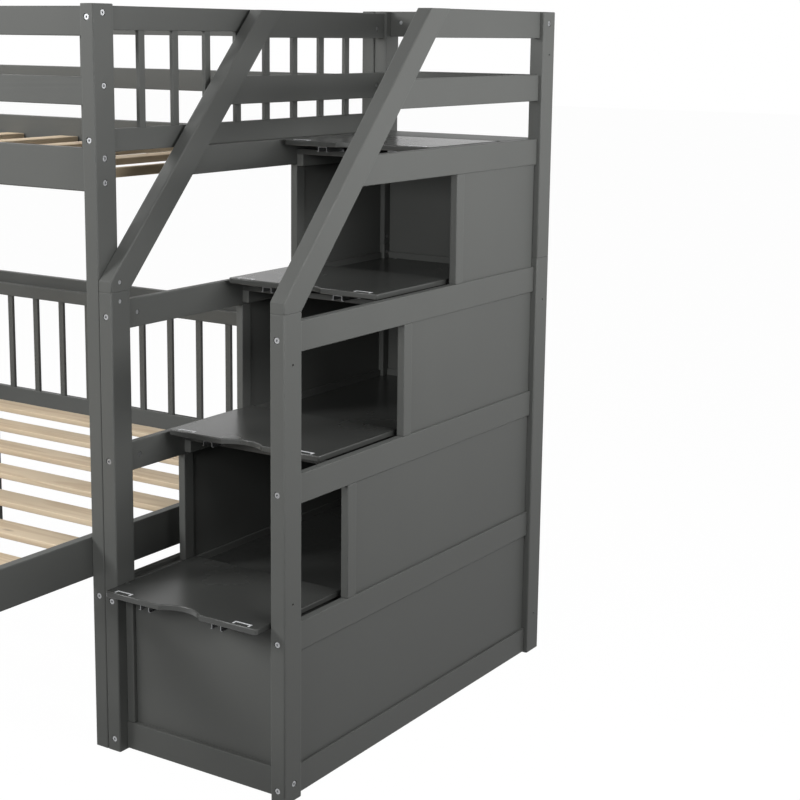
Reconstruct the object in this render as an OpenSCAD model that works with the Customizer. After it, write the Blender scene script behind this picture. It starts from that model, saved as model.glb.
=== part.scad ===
// Bunk bed: an upper bunk, a wider lower bed that stands crosswise under it, and a storage stair
// unit with sliding treads at the right end. Millimetres, +Z up, floor at z = 0, the stairs are
// climbed towards +Y, the origin is the centre of the footprint.

/* [Overall] */
// height over the posts, the handrails and the guard rails
bed_h = 1586; // [1576:1:1606]
// length of the upper bunk over its posts
bunk_len = 1980; // [1970:1:2030]
// depth of the upper bunk and of the stair unit over their posts
bunk_dep = 1070; // [1060:1:1090]
// depth of the whole bed, from the foot of the lower bed to the back
bed_dep = 2000; // [1990:1:2050]
// width of the lower bed over its side rails
lower_w = 1425; // [1400:1:1450]
// width of the stair unit over its posts
stair_w = 477.5; // [474:0.5:500]

/* [Posts] */
// narrow side of every post
post_w = 35; // [34:0.5:37]
// deep side of the posts of the stair unit and of the lower bed
post_d = 57; // [55:0.5:60]
// deep side of the posts of the upper bunk
bunk_post_d = 61; // [59:0.5:64]
// height at which the posts of the stair unit end and their upper parts begin
split_z = 1003; // [998:1:1010]
// rounding of the long edges of posts and rails
edge_r = 3; // [1:0.5:4]
// top of the head posts of the lower bed
head_post_h = 780; // [776:1:800]

/* [Rails] */
// thickness of the rails of the stair unit and of the guard rails
rail_t = 18; // [17:0.5:20]
// distance from the outer face of a stair post to the rail beside it
rail_in = 9.5; // [7:0.5:10]
// height of the rails of the stair unit
rail_h = 61.5; // [60:0.5:63]
// thickness of the side rails that carry the slats
side_t = 22; // [21:0.5:24]
// height of the side rails that carry the slats
side_h = 88.5; // [86:0.5:92]
// top of the side rails of the upper bunk
bunk_side_z = 1294.5; // [1292:0.5:1298]
// top of the side rails of the lower bed
lower_side_z = 471; // [468:0.5:476]
// height of the lower guard rail of the upper bunk
guard_mid_h = 57; // [55:0.5:59]
// height of the upper guard rail of the upper bunk
guard_top_h = 60; // [58:0.5:62]
// width of the short stiles that stiffen the guard rails
guard_stile_w = 40; // [36:0.5:44]
// how much lower the side rail at the back of the upper bunk sits
back_side_drop = 12; // [8:0.5:12.5]
// how much lower the middle guard rail at the back of the upper bunk sits
back_guard_drop = 9.5; // [6:0.5:12]
// how much lower the guard rails and the handrail on the bunk side of the landing end
left_drop = 4.5; // [2:0.5:6]

/* [Balusters] */
// visible width of a baluster
bal_w = 19; // [17:0.5:21]
// thickness of a baluster
bal_t = 10; // [8:0.5:12]
// depth of the mortise that takes the end of a baluster
tenon = 8; // [5:0.5:10]
// number of balusters at each end of the upper bunk
end_bals = 8; // [7:1:9]
// number of balusters in the headboard of the lower bed
head_bals = 12; // [11:1:13]

/* [Slats] */
// width of a slat
slat_w = 70; // [66:0.5:74]
// distance from one slat to the next in the upper bunk
bunk_slat_step = 218; // [212:1:224]
// free length between the stair end of the upper bunk and its first slat
slat_end = 350; // [340:1:360]
// free length between each end of the upper bunk and its narrow batten
batten_end = 122; // [110:1:134]
// distance from one slat to the next in the lower bed
lower_slat_step = 172.5; // [165:0.5:176]
// thickness of the slats of the upper bunk
bunk_slat_t = 16; // [14:0.5:17]
// thickness of the slats of the lower bed
lower_slat_t = 14; // [12:0.5:16]
// height of the painted cleats that carry the slats of the upper bunk
bunk_cleat_h = 12; // [10:0.5:13]
// height of the narrow wooden battens near the ends of the upper bunk
end_batten_h = 21.5; // [20:0.5:23]
// height of the cleats that carry the lower slats and the floors
cleat_h = 28; // [24:0.5:28]
// thickness of the cleats and of the battens
cleat_t = 18; // [16:0.5:20]

/* [Stairs] */
// top of the first side rail above the floor
step_z = 368.5; // [366:0.5:372]
// height of one step
step_rise = 307; // [306:0.5:308]
// front face of the lowest step behind the front of the posts
step_y = 23.5; // [22:0.5:26]
// depth of one step
step_run = 208.3; // [206:0.1:210]
// width of the upright stile at the front of each storage box
stile_w = 30.5; // [28:0.5:34]
// thickness of the side, back and front panels
panel_t = 6; // [5:0.5:7]
// depth of the grooves that hold the panels
groove = 6; // [4:0.5:7]
// slope of the handrails
hand_angle = 47.5; // [46:0.1:48]
// height of the upright elbow at the foot of a handrail
elbow_h = 23; // [20:0.5:26]
// thickness of the floor boards under the treads
floor_t = 12; // [10:0.5:13]
// width of the battens that hold the front panel
batten_w = 20; // [18:0.5:24]

/* [Treads] */
// thickness of a tread
tread_t = 13; // [12:0.5:14]
// depth of a tread
tread_dep = 290; // [284:1:292]
// how far a closed tread stands out over the step below it
tread_over = 64.5; // [60:0.5:68]
// free space at each side of a tread
tread_gap = 3.75; // [3:0.25:5]
// width of the finger notch in the front edge
notch_w = 108; // [100:1:116]
// depth of the finger notch
notch_d = 20; // [16:0.5:24]
// rounding of the two front corners
tread_r = 6; // [4:0.5:10]
// length of the small steel plates let into the tread
plate_l = 42; // [38:0.5:46]
// distance of those plates from the middle of the tread
plate_x = 157; // [150:1:162]

/* [Slides] */
// width of the fixed channel of a slide
slide_w = 36; // [34:0.5:40]
// height of a closed slide
slide_h = 13; // [12:0.5:14]
// thickness of the sheet steel
sheet = 1.5; // [1.2:0.1:1.8]
// distance of the slides from the middle of the tread
slide_x = 95; // [85:1:105]
// length of the fixed channel
slide_len = 220; // [200:1:226]

/* [Fasteners] */
// head diameter of the bolts
head_d = 12; // [11:0.5:12.5]
// diameter of the bolt shanks
shank_d = 6; // [5:0.5:6]
// depth of the counterbore that hides a bolt head
sink = 6; // [5.5:0.5:7]
// how far a bolt reaches into a rail
reach = 38; // [36:1:42]
// diameter of the barrel nuts
nut_d = 10; // [9:0.5:10.5]
// clearance around tenons, panels and let-in plates
fit = 0.2; // [0.1:0.05:0.3]

/* [Hidden] */

grey = [0.23, 0.24, 0.24];
wood = [0.80, 0.68, 0.52];
zinc = [0.72, 0.73, 0.74];
eps = 0.02;

// planes of the frame
xr = (bunk_len + stair_w) / 2;
xj = xr - stair_w;
xl = -xr;
yb = bed_dep / 2;
yf = yb - bunk_dep;
y0 = -bed_dep / 2;

// upper bunk
side_in = 17;
side_y = side_in + side_t;
bunk_inner_r = xj - post_w;
bunk_inner_l = xl + post_w;
bunk_slat_z = bunk_side_z - 80;
bunk_cleat_z = bunk_slat_z - bunk_cleat_h;
guard_mid_z = bunk_side_z + 87;
guard_top_z = bed_h - 5 - guard_top_h;
end_x = xj - post_w / 2;
end_low = [bunk_side_z - 8.5, bunk_side_z + 38.5];
end_top = [bed_h - 53, bed_h - 4];
foot_low = [320, 367];
back_low = [741, 803];
bunk_end_free = 100;
bunk_slat_n = floor((bunk_inner_r - bunk_inner_l - slat_end - bunk_end_free - slat_w)
                    / bunk_slat_step) + 1;
batten_x = [bunk_inner_r - batten_end - cleat_t, bunk_inner_l + batten_end];

// lower bed
lxr = xj - post_w;
lxl = lxr - lower_w;
head_y = yb - rail_t;
head_cy = head_y - post_d / 2;
lower_z0 = lower_side_z - side_h;
lower_cleat_z = lower_side_z - 68;
lower_slat_z = lower_cleat_z + cleat_h;
head_low = [lower_side_z - 71, lower_side_z - 16];
head_top = [head_post_h - 42, head_post_h - 5];
foot_cy = y0 + post_d / 2;
lower_y0 = y0 + post_d;
lower_y1 = head_y - post_d;
head_free = 86;
foot_free = 4;
lower_slat_first = lower_y1 - head_free - slat_w;
lower_slat_last = lower_y0 + foot_free;
lower_slat_n = round((lower_slat_first - lower_slat_last) / lower_slat_step) + 1;

// stair unit: rail levels, step fronts and the two sides
tops = [64, step_z, step_z + step_rise, step_z + 2 * step_rise, step_z + 3 * step_rise];
guards = [tops[4] + 150.5, bed_h];
side_guards = [guards, [guards[0] - left_drop, guards[1] - left_drop]];
yr = yb - post_d;
step_f = [for (k = [0:3]) yf + step_y + k * step_run];
stile_f = [0, step_f[1], step_f[2], step_f[3]];
rail_x = [xr - rail_in - rail_t, xj + rail_in];
rail_cx = [rail_x[0] + rail_t / 2, rail_x[1] + rail_t / 2];
stair_cx = (xr + xj) / 2;
in_r = rail_x[0];
in_l = rail_x[1] + rail_t;
back_y = yb - post_d / 2 - rail_t / 2;
landing_z = tops[4] + 0.5;
tread_z = [tops[1] + 10, tops[2] + 10, tops[3] + 10, landing_z];
tread_w = stair_w - 2 * (post_w + tread_gap);
tread_f = [for (k = [0:3]) step_f[k] - tread_over];
floor_z = [for (k = [0:3]) tread_z[k] - tread_t - slide_h - floor_t];
floor_f = [step_f[0] + rail_t, step_f[1], step_f[2], step_f[3]];
slope = tan(hand_angle);

// rounded rectangle from the corner at the origin
function eased(w, h, r, n = 3) =
    [for (c = [[w - r, r, -90], [w - r, h - r, 0], [r, h - r, 90], [r, r, 180]])
        for (k = [0:n]) [c[0] + r * cos(c[2] + 90 * k / n), c[1] + r * sin(c[2] + 90 * k / n)]];

// a length of planed timber between two corners, its edges along one axis eased
module stick(lo, hi, axis = "z", r = 2) {
    d = hi - lo;
    m = axis == "x" ? [[0, 0, 1, 0], [1, 0, 0, 0], [0, 1, 0, 0]] :
        axis == "y" ? [[0, 1, 0, 0], [0, 0, 1, 0], [1, 0, 0, 0]] :
                      [[1, 0, 0, 0], [0, 1, 0, 0], [0, 0, 1, 0]];
    s = axis == "x" ? [d[1], d[2], d[0]] : axis == "y" ? [d[2], d[0], d[1]] : d;
    translate(lo)
        multmatrix(m)
            linear_extrude(s[2])
                polygon(eased(s[0], s[1], r));
}

// a plain block between two corners
module block(lo, hi) {
    translate(lo)
        cube(hi - lo);
}

// a post, its upright edges and its top eased
module post(lo, hi, r = edge_r) {
    low = [lo[0], lo[1], lo[2] - 20];
    intersection() {
        stick(lo, hi, "z", r);
        stick(low, hi, "x", r);
        stick(low, hi, "y", r);
    }
}

// a cylinder from a point along a direction
module rod(p, v, l, d, n = 24) {
    translate(p)
        rotate([0, acos(v[2]), atan2(v[1], v[0])])
            cylinder(h = l, d = d, $fn = n);
}

// every bolted joint: head point, direction, thickness of the post, side on which the nut goes in,
// thickness of the rail
function bunk_bolts() =
    [for (e = [0, 1]) for (b = [0, 1]) for (g = [0:3])
        let (z = [bed_h - 18, guard_mid_z + 40.5 - b * back_guard_drop,
                  bunk_side_z - 19.5 - b * back_side_drop,
                  bunk_side_z - 69.5 - b * back_side_drop][g],
             t = g < 2 ? rail_t : side_t,
             y = side_y - t / 2)
        [[e == 0 ? xj : xl, b == 0 ? yf + y : yb - y, z], [e == 0 ? -1 : 1, 0, 0], post_w,
         [0, b == 0 ? 1 : -1, 0], t]];
function end_bolts() =
    [for (e = [0, 1]) for (b = [0, 1]) for (z = [bed_h - 27, end_low[0] + 26,
                                                   (foot_low[0] + foot_low[1]) / 2])
        [[e == 0 ? end_x : xl + post_w / 2, b == 0 ? yf : yb, z], [0, b == 0 ? 1 : -1, 0],
         bunk_post_d, [e == 0 ? -1 : 1, 0, 0], rail_t]];
function back_low_bolts() =
    [for (e = [0, 1])
        [[e == 0 ? xj : xl, yb - rail_t / 2, (back_low[0] + back_low[1]) / 2],
         [e == 0 ? -1 : 1, 0, 0], post_w, [0, -1, 0], rail_t]];
function step_bolts() =
    [for (s = [0, 1]) for (z = [27, tops[1] - 30.5, tops[2] - 30.5, tops[3] - 30.5])
        [[rail_cx[s], yf, z], [0, 1, 0], post_d, [s == 0 ? -1 : 1, 0, 0], rail_t]];
function step_back_bolts() =
    [for (s = [0, 1])
        for (z = [27, tops[1] - 30.5, tops[2] - 30.5, tops[3] - 30.5, tops[4] - 30.5,
                  side_guards[s][0] - 30.5, side_guards[s][1] - 42 + s * left_drop])
        [[rail_cx[s], yb, z], [0, -1, 0], post_d, [s == 0 ? -1 : 1, 0, 0], rail_t]];
function cross_bolts() =
    [for (s = [0, 1])
        for (q = [[back_y + rail_t / 2, guards[1] - 27, -1], [step_f[0] + rail_t / 2, 36, 1]])
        [[s == 0 ? xr : xj, q[0], q[1]], [s == 0 ? -1 : 1, 0, 0], post_w, [0, q[2], 0],
         rail_t]];
function lower_bolts() =
    [for (e = [0, 1]) for (b = [0, 1]) for (z = [-25, 25])
        [[e == 0 ? lxr - side_t / 2 : lxl + side_t / 2, b == 0 ? y0 : head_y,
          lower_side_z - side_h / 2 + z], [0, b == 0 ? 1 : -1, 0], post_d,
         [e == 0 ? -1 : 1, 0, 0], side_t]];
function head_bolts() =
    [for (e = [0, 1]) for (z = [(head_low[0] + head_low[1]) / 2, (head_top[0] + head_top[1]) / 2])
        [[e == 0 ? lxr : lxl, head_cy, z], [e == 0 ? -1 : 1, 0, 0], post_w, [0, -1, 0],
         rail_t]];
function foot_bolts() =
    [for (e = [0, 1])
        [[e == 0 ? lxr : lxl, foot_cy, lower_side_z - side_h / 2], [e == 0 ? -1 : 1, 0, 0],
         post_w, [0, 1, 0], side_t]];
joints = concat(bunk_bolts(), end_bolts(), back_low_bolts(), step_bolts(), step_back_bolts(),
                cross_bolts(), lower_bolts(), head_bolts(), foot_bolts());
nut_at = 30;
links = [for (y = [yf + 27, yb - 45]) for (z = [-20, 20]) [xj + post_w, y, split_z + z]];
pilots = [[xr, yf + 28, 418], [xr, yf + 28, 902], [xr, yb - 25, 97], [xr, yb - 25, 899],
          [xr, yb - 25, 1486]];

function inside(p, lo, hi) =
    p[0] > lo[0] - 1 && p[0] < hi[0] + 1 && p[1] > lo[1] - 1 && p[1] < hi[1] + 1 &&
    p[2] > lo[2] - 1 && p[2] < hi[2] + 1;
function near(b, lo, hi) =
    inside(b[0], lo, hi) || inside(b[0] + b[1] * (b[2] + nut_at), lo, hi) ||
    inside(b[0] + b[1] * (b[2] + 2), lo, hi);

// the holes of one bolted joint: counterbore, shank hole and blind hole of the barrel nut
module joint_holes(b) {
    rod(b[0] - b[1] * eps, b[1], sink + eps, head_d + 2, 32);
    rod(b[0], b[1], b[2] + reach + 2, shank_d + 1);
    rod(b[0] + b[1] * (b[2] + nut_at) - b[3] * (b[4] / 2 - 3), b[3], b[4] - 3 + eps, nut_d + 0.4);
}

// the children with the holes of all joints that meet the given box
module drilled(lo, hi) {
    difference() {
        children();
        for (b = joints)
            if (near(b, lo, hi))
                joint_holes(b);
        for (p = links)
            if (inside(p, lo, hi) || inside(p - [post_w + 10, 0, 0], lo, hi))
                link_hole(p);
        for (p = pilots)
            if (inside(p, lo, hi))
                rod(p + [eps, 0, 0], [-1, 0, 0], 12, 5, 16);
        for (p = dowels)
            if (inside(p, lo, hi))
                rod(p - [0, 0, dowel_l / 2], [0, 0, 1], dowel_l, dowel_d, 24);
    }
}

module link_hole(p) {
    rod(p + [eps, 0, 0], [-1, 0, 0], 4 + eps, 10, 24);
    rod(p, [-1, 0, 0], post_w + 25, 4, 16);
}

dowel_d = 10;
dowel_l = 60;
dowels = [for (x = [xr - post_w / 2, xj + post_w / 2]) for (y = [yf + 42, yb - 14])
    [x, y, split_z]];

// panels of the stair unit as boxes: two sides of four panels each, then the back
function side_panel(s, k) =
    let (x = rail_cx[s], f = k == 0 ? yf + post_d : stile_f[k] + stile_w)
    [[x - panel_t / 2, f - groove, tops[k] - groove],
     [x + panel_t / 2, yr + groove, tops[k + 1] - rail_h + groove]];
function back_panel(k) =
    let (y = back_y + rail_t / 2)
    [[xj + post_w - groove, y - panel_t / 2, tops[k] - groove],
     [xr - post_w + groove, y + panel_t / 2, tops[k + 1] - rail_h + groove]];
front_panel_box =
    [[xj + post_w + batten_w - groove, step_f[0] + rail_t - panel_t, tops[0] - groove],
     [xr - post_w - batten_w + groove, step_f[0] + rail_t, floor_z[0] + floor_t - 0.5]];
side_boxes = [for (s = [0, 1]) [for (k = [0:3]) side_panel(s, k)]];
back_boxes = [for (k = [0:3]) back_panel(k)];

// the children with the grooves for the given panels
module grooved(boxes) {
    difference() {
        children();
        for (b = boxes)
            block([b[0][0] - fit, b[0][1] - fit, b[0][2]], b[1] + [fit, fit, fit]);
    }
}

/* upper bunk */

module bunk_post(right, back) {
    x = right ? xj - post_w : xl;
    y = back ? yb - bunk_post_d : yf;
    lo = [x, y, 0];
    hi = [x + post_w, y + bunk_post_d, bed_h];
    drilled(lo, hi)
        post(lo, hi);
}
module bunk_post_front_right() { color(grey) bunk_post(true, false); }
module bunk_post_back_right() { color(grey) bunk_post(true, true); }
module bunk_post_front_left() { color(grey) bunk_post(false, false); }
module bunk_post_back_left() { color(grey) bunk_post(false, true); }

// a rail along the upper bunk, at the front or at the back
module bunk_rail(back, t, z0, z1) {
    y = back ? yb - side_y : yf + side_y - t;
    lo = [bunk_inner_l, y, z0];
    hi = [bunk_inner_r, y + t, z1];
    drilled(lo, hi)
        stick(lo, hi, "x");
}
module bunk_side_rail_front() {
    color(grey) bunk_rail(false, side_t, bunk_side_z - side_h, bunk_side_z);
}
module bunk_side_rail_back() {
    z = bunk_side_z - back_side_drop;
    color(grey) bunk_rail(true, side_t, z - side_h, z);
}
module bunk_guard_rails() {
    color(grey)
        for (back = [false, true]) {
            z = guard_mid_z - (back ? back_guard_drop : 0);
            bunk_rail(back, rail_t, z, z + guard_mid_h);
            bunk_rail(back, rail_t, guard_top_z, guard_top_z + guard_top_h);
        }
}
module bunk_guard_stiles() {
    color(grey)
        for (x = [bunk_inner_r - guard_stile_w, bunk_inner_l])
            stick([x, yf + side_y, bunk_slat_z + bunk_slat_t + 2],
                  [x + guard_stile_w, yf + side_y + rail_t, guard_top_z + guard_top_h]);
}

end_y0 = yf + bunk_post_d;
end_y1 = yb - bunk_post_d;
bal_gap = (end_y1 - end_y0 - end_bals * bal_w) / (end_bals + 1);
end_bal_boxes = [for (x = [end_x, xl + post_w / 2]) for (k = [0:end_bals - 1])
    let (y = end_y0 + bal_gap + k * (bal_w + bal_gap))
    [[x - bal_t / 2, y, end_low[1] - tenon], [x + bal_t / 2, y + bal_w, end_top[0] + tenon]]];
module bunk_end_rails() {
    color(grey)
        for (x = [end_x, xl + post_w / 2])
            for (z = [end_low, end_top]) {
                lo = [x - rail_t / 2, end_y0, z[0]];
                hi = [x + rail_t / 2, end_y1, z[1]];
                grooved([for (b = end_bal_boxes) if (abs(b[0][0] - x) < 50) b])
                    drilled(lo, hi)
                        stick(lo, hi, "y");
            }
}
module bunk_end_balusters() {
    color(grey)
        for (b = end_bal_boxes)
            stick(b[0], b[1], "z", 1.5);
}
module bunk_foot_rails() {
    color(grey)
        for (x = [end_x, xl + post_w / 2]) {
            lo = [x - rail_t / 2, end_y0, foot_low[0]];
            hi = [x + rail_t / 2, end_y1, foot_low[1]];
            drilled(lo, hi)
                stick(lo, hi, "y");
        }
}
module bunk_back_rail() {
    lo = [bunk_inner_l, yb - rail_t, back_low[0]];
    hi = [bunk_inner_r, yb, back_low[1]];
    color(grey)
        drilled(lo, hi)
            stick(lo, hi, "x");
}
module bunk_cleats() {
    color(grey)
        for (y = [yf + side_y, yb - side_y - cleat_t])
            stick([bunk_inner_l, y, bunk_cleat_z], [bunk_inner_r, y + cleat_t, bunk_slat_z], "x");
}
module bunk_slats() {
    color(wood)
        for (k = [0:bunk_slat_n - 1]) {
            x = bunk_inner_r - slat_end - slat_w - k * bunk_slat_step;
            stick([x, yf + side_y + 2, bunk_slat_z],
                  [x + slat_w, yb - side_y - 2, bunk_slat_z + bunk_slat_t], "y");
        }
    end_battens();
}
module end_battens() {
    color(wood)
        for (x = batten_x)
            stick([x, yf + side_y + 2, bunk_slat_z],
                  [x + cleat_t, yb - side_y - 2, bunk_slat_z + end_batten_h], "y");
}

/* lower bed */

module head_posts() {
    color(grey)
        for (x = [lxr - post_w, lxl]) {
            lo = [x, head_y - post_d, 0];
            hi = [x + post_w, head_y, head_post_h];
            drilled(lo, hi)
                post(lo, hi);
        }
}
module foot_posts() {
    color(grey)
        for (x = [lxr - post_w, lxl]) {
            lo = [x, y0, 0];
            hi = [x + post_w, y0 + post_d, lower_side_z + 9];
            drilled(lo, hi)
                post(lo, hi);
        }
}

hx0 = lxl + post_w;
hx1 = lxr - post_w;
head_gap = (hx1 - hx0 - head_bals * bal_w) / (head_bals + 1);
head_bal_boxes = [for (k = [0:head_bals - 1])
    let (x = hx0 + head_gap + k * (bal_w + head_gap))
    [[x, head_cy - bal_t / 2, head_low[1] - tenon],
     [x + bal_w, head_cy + bal_t / 2, head_top[0] + tenon]]];
module head_rails() {
    color(grey)
        for (z = [head_low, head_top]) {
            lo = [hx0, head_cy - rail_t / 2, z[0]];
            hi = [hx1, head_cy + rail_t / 2, z[1]];
            grooved(head_bal_boxes)
                drilled(lo, hi)
                    stick(lo, hi, "x");
        }
}
module head_balusters() {
    color(grey)
        for (b = head_bal_boxes)
            stick(b[0], b[1], "z", 1.5);
}
module foot_rail() {
    lo = [hx0, foot_cy - side_t / 2, lower_z0];
    hi = [hx1, foot_cy + side_t / 2, lower_side_z];
    color(grey)
        drilled(lo, hi)
            stick(lo, hi, "x");
}
module lower_side_rails() {
    color(grey)
        for (x = [lxr - side_t, lxl]) {
            lo = [x, lower_y0, lower_z0];
            hi = [x + side_t, lower_y1, lower_side_z];
            drilled(lo, hi)
                stick(lo, hi, "y");
        }
}
module lower_cleats() {
    color(wood)
        for (x = [lxr - side_t - cleat_t, lxl + side_t])
            stick([x, lower_y0, lower_cleat_z],
                  [x + cleat_t, lower_y1, lower_cleat_z + cleat_h], "y");
}
module lower_slats() {
    color(wood)
        for (k = [0:lower_slat_n - 1]) {
            y = max(lower_slat_first - k * lower_slat_step, lower_slat_last);
            stick([lxl + side_t + 2, y, lower_slat_z],
                  [lxr - side_t - 2, y + slat_w, lower_slat_z + lower_slat_t], "x");
        }
}

/* stair unit */

module stair_post_front(x, s) {
    lo = [x, yf, 0];
    hi = [x + post_w, yf + post_d, split_z];
    color(grey)
        drilled(lo, hi)
            grooved([side_boxes[s][0]])
                stick(lo, hi, "z", edge_r);
}
module stair_post_front_left() { stair_post_front(xj, 1); }
module stair_post_front_right() { stair_post_front(xr - post_w, 0); }

module stair_post_back(x, s, z0, z1) {
    lo = [x, yr, z0];
    hi = [x + post_w, yb, z1];
    color(grey)
        drilled(lo, hi)
            grooved(concat(side_boxes[s], back_boxes))
                if (z1 < bed_h)
                    stick(lo, hi, "z", edge_r);
                else
                    intersection() {
                        post(lo, hi);
                        block(lo, hi);
                    }
}
module stair_posts_back_lower() {
    stair_post_back(xj, 1, 0, split_z);
    stair_post_back(xr - post_w, 0, 0, split_z);
}
module stair_posts_back_upper() {
    stair_post_back(xj, 1, split_z, bed_h);
    stair_post_back(xr - post_w, 0, split_z, bed_h);
}

// a handrail: a sloping timber as deep as the posts, cut upright at its foot and level at its top
hand_w = (post_d * slope + elbow_h) * cos(hand_angle);
module handrail(x, top) {
    lo = [x, yf, split_z];
    hi = [x + post_w, yf + bunk_dep - 2 * post_d, top];
    color(grey)
        drilled(lo, hi)
            intersection() {
                translate([x, yf + post_d, split_z])
                    rotate([hand_angle, 0, 0])
                        stick([0, -200, 0], [post_w, 900, hand_w], "y", edge_r);
                stick(lo, hi, "z", edge_r);
            }
}
module handrail_left() { handrail(xj, bed_h - left_drop); }
module handrail_right() { handrail(xr - post_w, bed_h); }

// what lies above the lower edge of the handrails
module above_hand() {
    translate([xj - 10, yf + post_d, split_z])
        rotate([hand_angle, 0, 0])
            translate([0, -bunk_dep / 2, 0])
                cube([stair_w + 20, 2 * bunk_dep, bunk_dep]);
}

module step_rails(s) {
    color(grey)
        for (k = [0:3]) {
            lo = [rail_x[s], yf + post_d, tops[k] - rail_h];
            hi = [rail_x[s] + rail_t, yr, tops[k]];
            drilled(lo, hi)
                grooved(side_boxes[s])
                    stick(lo, hi, "y");
        }
}
module step_rails_left() { step_rails(1); }
module step_rails_right() { step_rails(0); }

// a rail that runs back from the lower edge of a handrail
module sloped_rail(s, z1) {
    lo = [rail_x[s], yf + post_d, z1 - rail_h];
    hi = [rail_x[s] + rail_t, yr, z1];
    color(grey)
        drilled(lo, hi)
            grooved(side_boxes[s])
                difference() {
                    stick(lo, hi, "y");
                    above_hand();
                }
}
module landing_rails() {
    for (s = [0, 1])
        sloped_rail(s, tops[4]);
}
module stair_guard_rails() {
    for (s = [0, 1])
        for (z = side_guards[s])
            sloped_rail(s, z);
}
module stair_stiles() {
    color(grey)
        for (s = [0, 1])
            for (k = [1:3])
                grooved(side_boxes[s])
                    stick([rail_x[s], stile_f[k], tops[k]],
                          [rail_x[s] + rail_t, stile_f[k] + stile_w, tops[k + 1] - rail_h]);
}
module side_panels(s) {
    color(grey)
        for (b = side_boxes[s])
            block(b[0], b[1]);
}
module side_panels_left() { side_panels(1); }
module side_panels_right() { side_panels(0); }
module back_rails() {
    color(grey)
        for (z = concat(tops, guards)) {
            lo = [xj + post_w, back_y, z - rail_h];
            hi = [xr - post_w, back_y + rail_t, z];
            drilled(lo, hi)
                grooved(back_boxes)
                    stick(lo, hi, "x");
        }
}
module back_panels() {
    color(grey)
        for (b = back_boxes)
            block(b[0], b[1]);
}
module front_rail() {
    lo = [xj + post_w, step_f[0], tops[0] - rail_h];
    hi = [xr - post_w, step_f[0] + rail_t, tops[0]];
    color(grey)
        drilled(lo, hi)
            difference() {
                stick(lo, hi, "x");
                block(front_panel_box[0] - [fit, fit, 0], front_panel_box[1] + [fit, 1, 0]);
            }
}
module front_battens() {
    color(grey)
        for (x = [xj + post_w, xr - post_w - batten_w])
            difference() {
                stick([x, step_f[0] + 1.5, tops[0]],
                      [x + batten_w, step_f[0] + rail_t, front_panel_box[1][2]]);
                block(front_panel_box[0] - [fit, fit, 0], front_panel_box[1] + [fit, 1, 1]);
            }
}
module front_panel() {
    color(grey)
        block(front_panel_box[0], front_panel_box[1]);
}

// a board between the side rails, narrowed where it passes between posts
module deck(y, z0, z1) {
    m = max(y, yf + post_d + 0.5);
    color(grey)
        union() {
            block([xj + post_w + 0.5, y, z0], [xr - post_w - 0.5, back_y, z1]);
            block([in_l + 0.5, m, z0], [in_r - 0.5, yr - 0.5, z1]);
        }
}
module stair_floors() {
    for (k = [0:3])
        deck(floor_f[k], floor_z[k], floor_z[k] + floor_t);
}
module landing_board() {
    deck(tread_f[3] + tread_dep + 2, floor_z[3] + floor_t, landing_z);
}
module stair_cleats() {
    color(grey)
        for (x = [in_l, in_r - cleat_t])
            for (k = [0:3])
                stick([x, max(floor_f[k], yf + post_d), floor_z[k] - cleat_h],
                      [x + cleat_t, yr, floor_z[k]], "y");
}

// fixed channel of a slide, seen from the front, its foot on the origin
function fixed_section() =
    let (w = slide_w / 2, t = sheet)
    [[-w, 0], [w, 0], [w, 5.5], [w - 5, 5.5], [w - 5, 5.5 - t], [w - t, 5.5 - t], [w - t, t],
     [-w + t, t], [-w + t, 5.5 - t], [-w + 5, 5.5 - t], [-w + 5, 5.5], [-w, 5.5]];
// moving channel: its feet run in the fixed channel, its back carries the tread
function moving_section() =
    let (w = slide_w / 2 - 6, t = sheet, h = slide_h, f = slide_w / 2 - t - 0.8)
    [[f, t], [f, t + 0.9], [w, t + 0.9], [w, h], [-w, h], [-w, t + 0.9], [-f, t + 0.9], [-f, t],
     [-w + t, t], [-w + t, h - t], [w - t, h - t], [w - t, t]];
module slide_run(section, x, y, z, l) {
    translate([x, y, z])
        multmatrix([[1, 0, 0, 0], [0, 0, 1, 0], [0, 1, 0, 0]])
            linear_extrude(l)
                polygon(section);
}
module slide_channels() {
    color(zinc)
        for (k = [0:3])
            for (x = [-slide_x, slide_x])
                slide_run(fixed_section(), stair_cx + x, floor_f[k], floor_z[k] + floor_t,
                          slide_len);
}
module tread_slides(k) {
    color(zinc)
        for (x = [-slide_x, slide_x])
            slide_run(moving_section(), stair_cx + x, tread_f[k] + 5, floor_z[k] + floor_t,
                      tread_dep - 10);
}

// the small U-shaped plate, its two legs towards the front edge
module plate(k, s, grow, h) {
    w = plate_l / 2 + grow;
    translate([stair_cx + s * plate_x, tread_f[k] + 5, tread_z[k] - 1.5])
        linear_extrude(h)
            polygon([[-w, -grow], [-w, 12 + grow], [w, 12 + grow], [w, -grow],
                     [w - 4 - 2 * grow, -grow], [w - 4 - 2 * grow, 8 - grow],
                     [-w + 4 + 2 * grow, 8 - grow], [-w + 4 + 2 * grow, -grow]]);
}
module tread(k) {
    w = tread_w;
    r = (notch_w * notch_w / 4 + notch_d * notch_d) / (2 * notch_d);
    c = concat([for (a = [180:15:270]) [tread_r + tread_r * cos(a), tread_r + tread_r * sin(a)]],
               [for (a = [270:15:360])
                   [w - tread_r + tread_r * cos(a), tread_r + tread_r * sin(a)]],
               [[w, tread_dep], [0, tread_dep]]);
    color(grey)
        difference() {
            translate([stair_cx - w / 2, tread_f[k], tread_z[k] - tread_t])
                linear_extrude(tread_t)
                    polygon(c);
            translate([stair_cx, tread_f[k] - r + notch_d, tread_z[k] - tread_t - 1])
                cylinder(h = tread_t + 2, r = r, $fn = 96);
            for (s = [-1, 1])
                plate(k, s, fit, 3);
        }
}
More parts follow.
